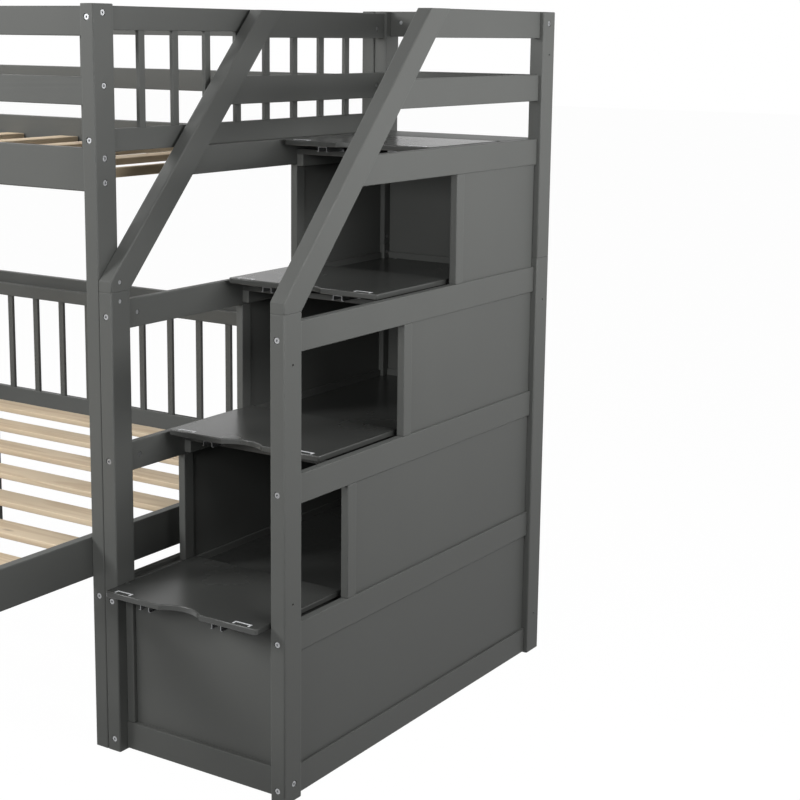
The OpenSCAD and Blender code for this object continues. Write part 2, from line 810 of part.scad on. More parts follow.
module tread_plates(k) {
    color(zinc)
        for (s = [-1, 1])
            plate(k, s, 0, 1.5);
}
module tread_1() { tread(0); }
module tread_2() { tread(1); }
module tread_3() { tread(2); }
module tread_4() { tread(3); }
module tread_slides_1() { tread_slides(0); }
module tread_slides_2() { tread_slides(1); }
module tread_slides_3() { tread_slides(2); }
module tread_slides_4() { tread_slides(3); }
module tread_plates_1() { tread_plates(0); }
module tread_plates_2() { tread_plates(1); }
module tread_plates_3() { tread_plates(2); }
module tread_plates_4() { tread_plates(3); }

/* fasteners */

module bolts() {
    color(zinc)
        for (b = joints)
            difference() {
                union() {
                    rod(b[0] + b[1] * (sink - 5), b[1], 5, head_d, 32);
                    rod(b[0] + b[1] * (sink - 1), b[1], b[2] + reach - sink + 1, shank_d);
                }
                rod(b[0] + b[1] * (sink - 5 - eps), b[1], 3 + eps, 5.8, 6);
            }
}
module barrel_nuts() {
    color(zinc)
        for (b = joints)
            difference() {
                rod(b[0] + b[1] * (b[2] + nut_at) - b[3] * (b[4] / 2 - 3), b[3], b[4] - 4.5, nut_d);
                rod(b[0] + b[1] * (b[2] + nut_at - 10), b[1], 20, shank_d);
            }
}
module link_screws() {
    color(zinc)
        for (p = links)
            union() {
                rod(p - [1, 0, 0], [-1, 0, 0], 3, 9, 24);
                rod(p - [3, 0, 0], [-1, 0, 0], post_w + 22, 4, 16);
            }
}
module split_dowels() {
    color(wood)
        for (p = dowels)
            rod(p - [0, 0, dowel_l / 2], [0, 0, 1], dowel_l, dowel_d, 24);
}

bunk_post_front_right();
bunk_post_back_right();
bunk_post_front_left();
bunk_post_back_left();
bunk_side_rail_front();
bunk_side_rail_back();
bunk_guard_rails();
bunk_guard_stiles();
bunk_end_rails();
bunk_end_balusters();
bunk_foot_rails();
bunk_back_rail();
bunk_cleats();
bunk_slats();
head_posts();
foot_posts();
head_rails();
head_balusters();
foot_rail();
lower_side_rails();
lower_cleats();
lower_slats();
stair_post_front_left();
stair_post_front_right();
stair_posts_back_lower();
stair_posts_back_upper();
handrail_left();
handrail_right();
step_rails_left();
step_rails_right();
landing_rails();
stair_guard_rails();
stair_stiles();
side_panels_left();
side_panels_right();
back_rails();
back_panels();
front_rail();
front_battens();
front_panel();
stair_floors();
landing_board();
stair_cleats();
slide_channels();
tread_1();
tread_2();
tread_3();
tread_4();
tread_slides_1();
tread_slides_2();
tread_slides_3();
tread_slides_4();
tread_plates_1();
tread_plates_2();
tread_plates_3();
tread_plates_4();
bolts();
barrel_nuts();
link_screws();
split_dowels();
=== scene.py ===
import math

import bmesh
import bpy
from mathutils import Matrix, Vector


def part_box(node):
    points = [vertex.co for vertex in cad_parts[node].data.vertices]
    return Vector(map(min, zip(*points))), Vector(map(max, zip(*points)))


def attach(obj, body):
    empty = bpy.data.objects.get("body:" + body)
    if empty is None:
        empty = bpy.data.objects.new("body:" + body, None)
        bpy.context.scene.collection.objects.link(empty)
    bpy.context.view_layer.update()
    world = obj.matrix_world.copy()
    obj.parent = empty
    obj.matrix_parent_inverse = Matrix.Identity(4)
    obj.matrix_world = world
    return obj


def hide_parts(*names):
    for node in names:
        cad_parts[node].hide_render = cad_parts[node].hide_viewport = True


bl_info = {
    "name": "Bunk Bed with Storage Stairs",
    "version": (1, 0, 0),
    "blender": (4, 5, 0),
    "location": "3D View > Sidebar > Bunk Bed",
    "description": "Dresses the bunk bed: planed slats, routed treads, paint, wood and zinc",
    "category": "Object",
}

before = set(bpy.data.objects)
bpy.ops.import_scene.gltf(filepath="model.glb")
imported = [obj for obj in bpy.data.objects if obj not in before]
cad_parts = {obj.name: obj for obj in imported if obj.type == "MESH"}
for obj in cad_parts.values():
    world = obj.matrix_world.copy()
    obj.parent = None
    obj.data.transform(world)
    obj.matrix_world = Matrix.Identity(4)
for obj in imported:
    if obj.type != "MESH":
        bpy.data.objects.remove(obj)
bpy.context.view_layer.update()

TREADS = ["tread_1", "tread_2", "tread_3", "tread_4"]
BODIES = ["sliding_tread_1", "sliding_tread_2", "sliding_tread_3", "sliding_tread_4"]

# which way the grain of each painted piece runs
UPRIGHT = [
    "bunk_post_front_right", "bunk_post_back_right", "bunk_post_front_left",
    "bunk_post_back_left", "bunk_guard_stiles", "bunk_end_balusters", "head_posts",
    "foot_posts", "head_balusters", "stair_post_front_left", "stair_post_front_right",
    "stair_posts_back_lower", "stair_posts_back_upper", "stair_stiles", "front_battens",
]
LENGTHWISE = [
    "bunk_side_rail_front", "bunk_side_rail_back", "bunk_guard_rails", "bunk_back_rail",
    "head_rails", "foot_rail", "back_rails", "front_rail", "bunk_cleats",
]
CROSSWISE = [
    "bunk_end_rails", "bunk_foot_rails", "lower_side_rails", "step_rails_left",
    "step_rails_right", "landing_rails", "stair_guard_rails", "stair_cleats",
]
SLOPING = ["handrail_left", "handrail_right"]
BOARDS = [
    "side_panels_left", "side_panels_right", "back_panels", "front_panel", "landing_board",
]
# the storage floors take the tread paint, darkened as a painted shade
TREAD_BOARDS = ["stair_floors"]
FASTENERS = ["bolts", "barrel_nuts", "link_screws"]
SLIDES = ["slide_channels"] + ["tread_slides_%d" % k for k in (1, 2, 3, 4)]
PLATES = ["tread_plates_%d" % k for k in (1, 2, 3, 4)]

# an edge is eased where it is sharper than this; the rim of a bore has only shorter edges
ARRIS_ANGLE = math.radians(60)
BORE_EDGE = 0.014
# no facet of a rounded edge or a bore is wider
FACET = 0.003
# faces within the first angle lie in one plane, and the second is well past it
SAME_PLANE = math.radians(0.5)
TILTED = 1.0
# an edge shades sharp from this angle on
SHARP_ANGLE = math.radians(50)
# vertices closer than this are one
WELD = 1e-6
# how far the let-in plates stand over the visible tread board, which has no recess for them
PLATE_PROUD = 0.0003
# a slat is cut into this many lengths, so that it can sag
SLAT_LENGTHS = 12
# share of the sag of slat k: least + step * (k * stride % cycle)
UPPER_SAG = (0.6, 0.13, 5, 7)
LOWER_SAG = (0.7, 0.12, 3, 8)
# steps of a tread's corner and notch
CORNER_STEPS = 6
NOTCH_STEPS = 24
# the normal of a tread's level faces has more than this along Z, that of its upright faces less
LEVEL_FACE = 0.9
UPRIGHT_FACE = 0.1
# facets of a rounded edge of a slat or tread, and of an eased edge
ROUND_FACETS = 3
EASED_FACETS = 2

# the grain runs along local Z of the turned coordinates
TURNS = {
    "upright": (0.0, 0.0, 0.0),
    "lengthwise": (0.0, math.radians(90), 0.0),
    "crosswise": (math.radians(90), 0.0, 0.0),
    "sloping": (math.radians(-42.5), 0.0, 0.0),
}

# mirror-like reflection of the paint on timber and on the smoother treads
PAINT_SHINE = 0.14
TREAD_SHINE = 0.38
# how much of the dust and of the paler edges, partly worn paint and partly a painted highlight,
# shows in the paint, and of the late wood in a slat
DUST_SHARE = 0.22
WORN_AND_HIGHLIGHT_SHARE = 0.38
LATE_WOOD_SHARE = 0.42
# how much the fine fibres add to the height of the rings
FIBRE_SHARE = 0.35
# spread of the zinc's roughness to either side
ZINC_SPREAD = 0.11
# pieces, material, share of the zinc colour, roughness, metallic
ZINC_LOOKS = (
    (FASTENERS, "zinc_bolts", 0.60, 0.42, 1.0),
    # the slides' zinc is darkened as a painted shade for the shadow under the treads
    (SLIDES, "zinc_slides", 0.45, 0.38, 1.0),
    # the plates' zinc is lightened and made less metallic as a painted glint
    (PLATES, "zinc_plates", 1.30, 0.60, 0.25),
)

# name, place, target, size and the setting that holds the power
LAMPS = (
    ("side_lamp", (2.75, 0.45, 1.55), (1.2, 0.45, 1.55), (2.6, 0.5), "side"),
    ("front_lamp", (1.4, -2.9, 1.9), (0.8, 0.0, 1.1), (1.4, 1.0), "front"),
    ("left_lamp", (-1.5, -2.4, 2.4), (-0.5, 0.2, 0.4), (1.2, 1.2), "left"),
    ("bed_lamp", (-1.3, 0.4, 2.5), (-1.3, 0.4, 0.0), (1.4, 1.4), "bed"),
)
FLOOR_HALF = 30.0
FLOOR_DROP = 0.0005
FLOOR_GREY = 0.15
# share and strength of the white that the camera sees on the floor
FLOOR_WHITE = (0.75, 1.31)
# side and optical centre of the picture, in its points
PICTURE_SIDE = 800.0
OPTICAL_CENTRE = (386.269, 336.955)
SENSOR_WIDTH = 36.0


class BunkSlatSettings(bpy.types.PropertyGroup):
    edge: bpy.props.FloatProperty(
        name="Edge rounding", description="Rounding of the planed edges of a slat",
        default=0.002, min=0.0005, max=0.005, unit="LENGTH")
    sag: bpy.props.FloatProperty(
        name="Sag", description="How far the middle of a slat bows down",
        default=0.0012, min=0.0, max=0.006, unit="LENGTH")


class BunkTreadSettings(bpy.types.PropertyGroup):
    edge: bpy.props.FloatProperty(
        name="Routed edge", description="Rounding of the edges of a tread",
        default=0.0022, min=0.0005, max=0.005, unit="LENGTH")
    notch_width: bpy.props.FloatProperty(
        name="Notch width", description="Width of the finger notch in the front edge",
        default=0.108, min=0.08, max=0.13, unit="LENGTH")
    notch_depth: bpy.props.FloatProperty(
        name="Notch depth", description="Depth of the finger notch",
        default=0.020, min=0.01, max=0.03, unit="LENGTH")
    corner: bpy.props.FloatProperty(
        name="Corner radius", description="Rounding of the two front corners",
        default=0.006, min=0.002, max=0.02, unit="LENGTH")


class BunkFinishSettings(bpy.types.PropertyGroup):
    paint: bpy.props.FloatVectorProperty(
        name="Paint", description="Colour of the painted timber",
        default=(0.132, 0.136, 0.130), size=3, min=0.0, max=1.0, subtype="COLOR")
    eased_edge: bpy.props.FloatProperty(
        name="Eased edge", description="Rounding of the sharp edges at sawn ends and grooves",
        default=0.0015, min=0.0003, max=0.003, unit="LENGTH")
    paint_gloss: bpy.props.FloatProperty(
        name="Paint roughness", description="Roughness of the satin paint",
        default=0.42, min=0.1, max=0.9, subtype="FACTOR")
    board_shade: bpy.props.FloatProperty(
        name="Board shade", description="Paint on panels, as a share of that on the timber",
        default=0.97, min=0.2, max=1.5, subtype="FACTOR")
    # darker than the timber's paint: painted shade for the little light that reaches the tread
    # tops and storage floors
    tread_painted_shade: bpy.props.FloatProperty(
        name="Tread shade", description="Paint on the treads, as a share of that on the timber",
        default=0.52, min=0.2, max=1.5, subtype="FACTOR")
    tread_gloss: bpy.props.FloatProperty(
        name="Tread roughness", description="Roughness of the smooth paint on the treads",
        default=0.25, min=0.1, max=0.9, subtype="FACTOR")
    wood_light: bpy.props.FloatVectorProperty(
        name="Pale wood", description="Pale early wood of the slats",
        default=(0.840, 0.700, 0.515), size=3, min=0.0, max=1.0, subtype="COLOR")
    wood_dark: bpy.props.FloatVectorProperty(
        name="Dark wood", description="Darker late wood of the slats",
        default=(0.640, 0.490, 0.340), size=3, min=0.0, max=1.0, subtype="COLOR")
    zinc: bpy.props.FloatVectorProperty(
        name="Zinc", description="Colour of the plated steel",
        default=(0.62, 0.63, 0.64), size=3, min=0.0, max=1.0, subtype="COLOR")


class BunkStageSettings(bpy.types.PropertyGroup):
    heading: bpy.props.FloatProperty(
        name="Heading", description="Turn of the camera from +Y towards -X",
        default=math.radians(33.3023), subtype="ANGLE", unit="ROTATION")
    tilt: bpy.props.FloatProperty(
        name="Tilt", description="How far the camera looks down",
        default=math.radians(10.5004), subtype="ANGLE", unit="ROTATION")
    roll: bpy.props.FloatProperty(
        name="Roll", description="Turn of the camera about its own axis",
        default=math.radians(0.6126), subtype="ANGLE", unit="ROTATION")
    place: bpy.props.FloatVectorProperty(
        name="Camera place", description="Where the camera stands",
        default=(3.07629, -2.52842, 1.53251), size=3, subtype="TRANSLATION", unit="LENGTH")
    lens: bpy.props.FloatProperty(
        name="Lens", description="Focal length on a 36 mm frame, in millimetres",
        default=73.7103, min=20.0, max=200.0)
    side: bpy.props.FloatProperty(
        name="Side lamp", description="Power of the long lamp beside the stair unit",
        default=35.0, min=0.0, max=500.0)
    front: bpy.props.FloatProperty(
        name="Front lamp", description="Power of the soft lamp before the stair unit",
        default=39.0, min=0.0, max=500.0)
    left: bpy.props.FloatProperty(
        name="Left lamp", description="Power of the soft lamp before the lower bed",
        default=80.0, min=0.0, max=500.0)
    bed: bpy.props.FloatProperty(
        name="Bed lamp", description="Power of the soft lamp above the bunk",
        default=26.0, min=0.0, max=500.0)
    sky: bpy.props.FloatProperty(
        name="Room light", description="Strength of the even light of the room",
        default=0.06, min=0.0, max=2.0)


def settings():
    return bpy.context.scene


# shader nodes and the node groups that several finishes share

def add(nodes, kind, where, inputs=None, **options):
    """A shader node at a place in the editor; its options are set before its input values."""
    node = nodes.new("ShaderNode" + kind)
    for key, value in options.items():
        setattr(node, key, value)
    for key, value in (inputs or {}).items():
        node.inputs[key].default_value = value
    node.location = where
    return node


def join(links, *pairs):
    for source, target in pairs:
        links.new(source, target)


def new_group(name, inputs, outputs):
    group = bpy.data.node_groups.new(name, "ShaderNodeTree")
    for title, kind, value in inputs:
        item = group.interface.new_socket(title, in_out="INPUT", socket_type=kind)
        if value is not None:
            item.default_value = value
    for title, kind in outputs:
        group.interface.new_socket(title, in_out="OUTPUT", socket_type=kind)
    first = group.nodes.new("NodeGroupInput")
    first.location = (-900, 0)
    last = group.nodes.new("NodeGroupOutput")
    last.location = (700, 0)
    return group, first.outputs, last.inputs


def worn_and_highlit_edge_group():
    """A mask that is 1 on sharp edges and 0 on flats, broken up by fine noise; it pales the paint
    there as wear and as a painted highlight.
    """
    group, given, result = new_group(
        "worn_edges",
        [("Radius", "NodeSocketFloat", 0.0012), ("Breakup", "NodeSocketFloat", 0.5)],
        [("Mask", "NodeSocketFloat")])
    nodes = group.nodes
    round_edge = add(nodes, "Bevel", (-650, 150), samples=4)
    face = add(nodes, "NewGeometry", (-650, -50))
    dot = add(nodes, "VectorMath", (-430, 100), operation="DOT_PRODUCT")
    turn = add(nodes, "MapRange", (-220, 100), {"From Min": 0.995, "From Max": 0.85})
    coords = add(nodes, "TexCoord", (-650, -300))
    speck = add(nodes, "TexNoise", (-430, -250), {"Scale": 60.0, "Detail": 3.0})
    spread = add(nodes, "MapRange", (-220, -250), {"From Min": 0.35, "From Max": 0.65})
    whole = add(nodes, "Mix", (0, -150), {"A": 1.0})
    both = add(nodes, "Math", (250, 50), operation="MULTIPLY")
    join(group.links,
         (given["Radius"], round_edge.inputs["Radius"]),
         (round_edge.outputs["Normal"], dot.inputs[0]),
         (face.outputs["Normal"], dot.inputs[1]),
         (dot.outputs["Value"], turn.inputs["Value"]),
         (coords.outputs["Object"], speck.inputs["Vector"]),
         (speck.outputs["Fac"], spread.inputs["Value"]),
         (given["Breakup"], whole.inputs["Factor"]),
         (spread.outputs["Result"], whole.inputs["B"]),
         (turn.outputs["Result"], both.inputs[0]),
         (whole.outputs["Result"], both.inputs[1]),
         (both.outputs["Value"], result["Mask"]))
    return group


def grain_group():
    """Long fibres along local Z: a fine height and a soft mask for the late wood."""
    group, given, result = new_group(
        "timber_grain",
        [("Vector", "NodeSocketVector", None), ("Rings", "NodeSocketFloat", 34.0),
         ("Waver", "NodeSocketFloat", 2.5)],
        [("Late Wood", "NodeSocketFloat"), ("Fibre", "NodeSocketFloat")])
    nodes = group.nodes
    squeeze = add(nodes, "Mapping", (-680, 100), {"Scale": (1.0, 1.0, 0.055)})
    bend = add(nodes, "TexNoise", (-450, 250), {"Scale": 9.0, "Detail": 3.0, "Roughness": 0.45})
    rings = add(nodes, "Math", (-240, 250), operation="MULTIPLY")
    wave = add(nodes, "Math", (-60, 250), operation="SINE")
    soft = add(nodes, "MapRange", (120, 250), {"From Min": -0.2, "From Max": 1.0},
               interpolation_type="SMOOTHSTEP")
    hair = add(nodes, "Mapping", (-680, -200), {"Scale": (1.0, 1.0, 0.02)})
    fibre = add(nodes, "TexNoise", (-450, -200),
                {"Scale": 420.0, "Detail": 4.0, "Roughness": 0.65})
    height = add(nodes, "Math", (320, 150), {1: FIBRE_SHARE}, operation="MULTIPLY_ADD")
    join(group.links,
         (given["Vector"], squeeze.inputs["Vector"]),
         (given["Vector"], hair.inputs["Vector"]),
         (squeeze.outputs["Vector"], bend.inputs["Vector"]),
         (given["Waver"], bend.inputs["Distortion"]),
         (bend.outputs["Fac"], rings.inputs[0]),
         (given["Rings"], rings.inputs[1]),
         (rings.outputs["Value"], wave.inputs[0]),
         (wave.outputs["Value"], soft.inputs["Value"]),
         (hair.outputs["Vector"], fibre.inputs["Vector"]),
         (fibre.outputs["Fac"], height.inputs[0]),
         (soft.outputs["Result"], height.inputs[2]),
         (soft.outputs["Result"], result["Late Wood"]),
         (height.outputs["Value"], result["Fibre"]))
    return group


def film_group():
    """Film of paint: clouding of its tone and sheen, height of its peel, and specks of dust."""
    group, given, result = new_group(
        "paint_film",
        [("Vector", "NodeSocketVector", None), ("Peel", "NodeSocketFloat", 700.0)],
        [("Cloud", "NodeSocketFloat"), ("Peel Height", "NodeSocketFloat"),
         ("Dust", "NodeSocketFloat")])
    nodes = group.nodes
    cloud = add(nodes, "TexNoise", (-400, 200), {"Scale": 5.0, "Detail": 4.0})
    peel = add(nodes, "TexNoise", (-400, -50), {"Detail": 2.0})
    dust = add(nodes, "TexNoise", (-400, -300), {"Scale": 95.0, "Detail": 8.0, "Roughness": 0.7})
    few = add(nodes, "MapRange", (-150, -300), {"From Min": 0.60, "From Max": 0.78})
    join(group.links,
         (given["Vector"], cloud.inputs["Vector"]),
         (given["Vector"], peel.inputs["Vector"]),
         (given["Vector"], dust.inputs["Vector"]),
         (given["Peel"], peel.inputs["Scale"]),
         (dust.outputs["Fac"], few.inputs["Value"]),
         (cloud.outputs["Fac"], result["Cloud"]),
         (peel.outputs["Fac"], result["Peel Height"]),
         (few.outputs["Result"], result["Dust"]))
    return group


def shared(name, build):
    return bpy.data.node_groups.get(name) or build()


def put(material, group, where, inputs=None):
    return add(material.node_tree.nodes, "Group", where, inputs, node_tree=group)


def new_material(name):
    """A material with its nodes, links and shader."""
    material = bpy.data.materials.new(name)
    material.use_nodes = True
    tree = material.node_tree
    return material, tree.nodes, tree.links, tree.nodes["Principled BSDF"]


def turned_coordinates(material, run, where):
    """Object coordinates with local Z along the grain."""
    nodes = material.node_tree.nodes
    coords = add(nodes, "TexCoord", (where[0] - 200, where[1]))
    turn = add(nodes, "Mapping", where, {"Rotation": TURNS[run]})
    join(material.node_tree.links, (coords.outputs["Object"], turn.inputs["Vector"]))
    return turn.outputs["Vector"]


def mix_colour(nodes, where, inputs=None, blend="MIX"):
    return add(nodes, "Mix", where, inputs, data_type="RGBA", blend_type=blend)


def scaled(colour, red, green, blue):
    return (colour[0] * red, colour[1] * green, colour[2] * blue, 1.0)


def painted_timber(run, board=None):
    """Satin grey paint over planed timber or board: faint grain, peel, clouding, and paler edges
    that are partly wear, partly a painted highlight.
    """
    look = settings().bunk_finish
    # the panels keep about the timber's colour; the treads and storage floors get a painted shade
    shade = {"panel_paint": look.board_shade, "tread_paint": look.tread_painted_shade}.get(board, 1.0)
    gloss = look.tread_gloss if board == "tread_paint" else look.paint_gloss
    colour = [c * shade for c in look.paint]
    material, nodes, links, shader = new_material(board or "painted_timber_" + run)
    place = turned_coordinates(material, run, (-1100, 100))
    film = put(material, shared("paint_film", film_group), (-850, 250))
    edge = put(material, shared("worn_edges", worn_and_highlit_edge_group), (-850, 500),
               {"Radius": 0.0014, "Breakup": 0.45})

    tone = mix_colour(nodes, (-550, 300), {"A": scaled(colour, 0.93, 0.93, 0.93),
                                           "B": scaled(colour, 1.07, 1.07, 1.07)})
    dusty = mix_colour(nodes, (-350, 300), {"B": scaled(colour, 1.35, 1.35, 1.33)})
    less = add(nodes, "Math", (-550, 80), {1: DUST_SHARE}, operation="MULTIPLY")
    # paler edges: worn paint together with a painted highlight along the rounded edges
    pale = mix_colour(nodes, (-150, 300), {"B": scaled(colour, 1.75, 1.75, 1.72)})
    some = add(nodes, "Math", (-350, 520), {1: WORN_AND_HIGHLIGHT_SHARE}, operation="MULTIPLY")
    sheen = add(nodes, "MapRange", (-350, -50), {"To Min": gloss - 0.05, "To Max": gloss + 0.07})
    soft = add(nodes, "Bevel", (-600, -500), {"Radius": 0.0016}, samples=4)
    peel = add(nodes, "Bump", (-350, -300), {"Strength": 0.06, "Distance": 0.0004})
    join(links,
         (place, film.inputs["Vector"]),
         (film.outputs["Cloud"], tone.inputs["Factor"]),
         (film.outputs["Dust"], less.inputs[0]),
         (less.outputs["Value"], dusty.inputs["Factor"]),
         (tone.outputs["Result"], dusty.inputs["A"]),
         (edge.outputs["Mask"], some.inputs[0]),
         (some.outputs["Value"], pale.inputs["Factor"]),
         (dusty.outputs["Result"], pale.inputs["A"]),
         (pale.outputs["Result"], shader.inputs["Base Color"]),
         (film.outputs["Cloud"], sheen.inputs["Value"]),
         (sheen.outputs["Result"], shader.inputs["Roughness"]),
         (film.outputs["Peel Height"], peel.inputs["Height"]),
         (soft.outputs["Normal"], peel.inputs["Normal"]))
    surface = peel
    if not board:
        grain = put(material, shared("timber_grain", grain_group), (-850, -250), {"Rings": 30.0})
        surface = add(nodes, "Bump", (-150, -300), {"Strength": 0.10, "Distance": 0.0006})
        join(links,
             (place, grain.inputs["Vector"]),
             (grain.outputs["Fibre"], surface.inputs["Height"]),
             (peel.outputs["Normal"], surface.inputs["Normal"]))
    join(links, (surface.outputs["Normal"], shader.inputs["Normal"]))
    shine = TREAD_SHINE if board == "tread_paint" else PAINT_SHINE
    shader.inputs["Specular IOR Level"].default_value = shine
    return material


def bare_wood(run):
    """Planed, unpainted wood: rings, fibres, uneven tint and a few knots."""
    look = settings().bunk_finish
    material, nodes, links, shader = new_material("bare_wood_" + run)
    place = turned_coordinates(material, run, (-1100, 100))
    grain = put(material, shared("timber_grain", grain_group), (-850, 150),
                {"Rings": 46.0, "Waver": 1.2})
    body = mix_colour(nodes, (-500, 250), {"A": (*look.wood_light, 1.0),
                                           "B": (*look.wood_dark, 1.0)})
    part = add(nodes, "Math", (-650, 350), {1: LATE_WOOD_SHARE}, operation="MULTIPLY")
    patch = add(nodes, "TexNoise", (-850, -150), {"Scale": 2.2, "Detail": 2.0})
    tint = mix_colour(nodes, (-300, 250), {"B": (0.86, 0.80, 0.72, 1.0)}, "MULTIPLY")
    stretch = add(nodes, "Mapping", (-850, -450), {"Scale": (3.0, 3.0, 1.0)})
    cell = add(nodes, "TexVoronoi", (-650, -450), {"Scale": 4.5})
    knot = add(nodes, "MapRange", (-450, -450), {"From Min": 0.13, "From Max": 0.04})
    spot = mix_colour(nodes, (-100, 250), {"B": (0.20, 0.105, 0.05, 1.0)})
    rough = add(nodes, "MapRange", (-300, -50), {"To Min": 0.52, "To Max": 0.68})
    fibre = add(nodes, "Bump", (-100, -250), {"Strength": 0.25, "Distance": 0.0006})
    join(links,
         (place, grain.inputs["Vector"]),
         (grain.outputs["Late Wood"], part.inputs[0]),
         (part.outputs["Value"], body.inputs["Factor"]),
         (place, patch.inputs["Vector"]),
         (patch.outputs["Fac"], tint.inputs["Factor"]),
         (body.outputs["Result"], tint.inputs["A"]),
         (place, stretch.inputs["Vector"]),
         (stretch.outputs["Vector"], cell.inputs["Vector"]),
         (cell.outputs["Distance"], knot.inputs["Value"]),
         (knot.outputs["Result"], spot.inputs["Factor"]),
         (tint.outputs["Result"], spot.inputs["A"]),
         (spot.outputs["Result"], shader.inputs["Base Color"]),
         (grain.outputs["Fibre"], rough.inputs["Value"]),
         (rough.outputs["Result"], shader.inputs["Roughness"]),
         (grain.outputs["Fibre"], fibre.inputs["Height"]),
         (fibre.outputs["Normal"], shader.inputs["Normal"]))
    return material


def plated_steel(name, shade, roughness, metallic):
    """Zinc plate: fine spangle, drawn lines and slight dulling."""
    colour = [c * shade for c in settings().bunk_finish.zinc]
    material, nodes, links, shader = new_material(name)
    place = turned_coordinates(material, "crosswise", (-1000, 100))
    spangle = add(nodes, "TexVoronoi", (-750, 250), {"Scale": 260.0})
    tone = mix_colour(nodes, (-400, 250), {"A": scaled(colour, 0.86, 0.86, 0.88),
                                           "B": scaled(colour, 1.12, 1.12, 1.12)})
    dull = add(nodes, "TexNoise", (-750, -50), {"Scale": 40.0, "Detail": 5.0})
    rough = add(nodes, "MapRange", (-400, -50), {"To Min": roughness - ZINC_SPREAD,
                                                 "To Max": roughness + ZINC_SPREAD})
    lines = add(nodes, "Mapping", (-950, -350), {"Scale": (1.0, 1.0, 0.03)})
    drawn = add(nodes, "TexNoise", (-750, -350), {"Scale": 900.0})
    bump = add(nodes, "Bump", (-400, -300), {"Strength": 0.08, "Distance": 0.0003})
    join(links,
         (place, spangle.inputs["Vector"]),
         (spangle.outputs["Distance"], tone.inputs["Factor"]),
         (tone.outputs["Result"], shader.inputs["Base Color"]),
         (place, dull.inputs["Vector"]),
         (dull.outputs["Fac"], rough.inputs["Value"]),
         (rough.outputs["Result"], shader.inputs["Roughness"]),
         (place, lines.inputs["Vector"]),
         (lines.outputs["Vector"], drawn.inputs["Vector"]),
         (drawn.outputs["Fac"], bump.inputs["Height"]),
         (bump.outputs["Normal"], shader.inputs["Normal"]))
    shader.inputs["Metallic"].default_value = metallic
    return material


def finish(name, build):
    return bpy.data.materials.get(name) or build()


def dress(names, material):
    for name in names:
        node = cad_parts[name]
        node.data.materials.clear()
        node.data.materials.append(material)


# mesh helpers

def gather(start, left, neighbours):
    """The start and all that links to it, step by step; they are taken out of the set left."""
    left.discard(start)
    heap = [start]
    found = []
    while heap:
        member = heap.pop()
        found.append(member)
        for other in neighbours(member):
            if other in left:
                left.remove(other)
                heap.append(other)
    return found


def flat_faces(bm, facet):
    """The indices of the faces that lie in a plane wider than a facet."""
    def level_with(face):
        for edge in face.edges:
            for other in edge.link_faces:
                # a face too thin to have a normal counts as tilted
                if face.normal.angle(other.normal, TILTED) < SAME_PLANE:
                    yield other

    bm.faces.index_update()
    flats = []
    left = set(bm.faces)
    for start in bm.faces:
        if start in left:
            plane = gather(start, left, level_with)
            longest = max(e.calc_length() for f in plane for e in f.edges)
            if sum(f.calc_area() for f in plane) > facet * longest:
                flats += [f.index for f in plane]
    return flats


def object_from(bm, name, material, body, facet=None):
    """An object from a mesh, smooth but for sharp edges and, with a facet width, flats."""
    bmesh.ops.recalc_face_normals(bm, faces=bm.faces)
    for face in bm.faces:
        face.smooth = True
    flats = flat_faces(bm, facet) if facet else []
    mesh = bpy.data.meshes.new(name)
    bm.to_mesh(mesh)
    bm.free()
    piece = bpy.data.objects.new(name, mesh)
    bpy.context.scene.collection.objects.link(piece)
    mesh.materials.append(material)
    # normals that came along from the pack would smear the shading of the new faces
    if "custom_normal" in mesh.attributes:
        mesh.attributes.remove(mesh.attributes["custom_normal"])
    # this clears the flat faces, so they are set after it
    mesh.set_sharp_from_angle(angle=SHARP_ANGLE)
    for k in flats:
        mesh.polygons[k].use_smooth = False
    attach(piece, body)
    return piece


def bevel_edges(bm, edges, width, segments):
    bmesh.ops.bevel(bm, geom=edges, offset=width, offset_type="OFFSET", segments=segments,
                    profile=0.5, affect="EDGES", material=-1, clamp_overlap=True)


def solids_of(node):
    """The boxes of the separate solids of a node of the pack."""
    bm = bmesh.new()
    bm.from_mesh(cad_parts[node].data)
    bmesh.ops.remove_doubles(bm, verts=bm.verts, dist=WELD)
    left = set(bm.verts)
    boxes = []
    while left:
        solid = gather(left.pop(), left, lambda v: [e.other_vert(v) for e in v.link_edges])
        boxes.append((Vector([min(v.co[i] for v in solid) for i in range(3)]),
                      Vector([max(v.co[i] for v in solid) for i in range(3)])))
    bm.free()
    return sorted(boxes, key=lambda b: (b[0].x, b[0].y, b[0].z))


def slat_mesh(low, high, axis, edge, sag):
    """A planed slat between two corners, its middle a little lower than its ends."""
    bm = bmesh.new()
    bmesh.ops.create_cube(bm, size=1.0)
    size = high - low
    centre = (low + high) / 2
    bmesh.ops.scale(bm, vec=size, verts=bm.verts)
    bmesh.ops.translate(bm, vec=centre, verts=bm.verts)
    bevel_edges(bm, bm.edges[:], edge, ROUND_FACETS)
    for k in range(1, SLAT_LENGTHS):
        point = low.copy()
        point[axis] = low[axis] + size[axis] * k / SLAT_LENGTHS
        normal = Vector((0, 0, 0))
        normal[axis] = 1.0
        bmesh.ops.bisect_plane(bm, geom=bm.verts[:] + bm.edges[:] + bm.faces[:], dist=WELD,
                               plane_co=point, plane_no=normal)
    half = size[axis] / 2
    for v in bm.verts:
        t = (v.co[axis] - centre[axis]) / half
        v.co.z -= sag * max(0.0, 1 - t * t)
    return bm


def sag_share(k, pattern):
    least, step, stride, cycle = pattern
    return least + step * (k * stride % cycle)


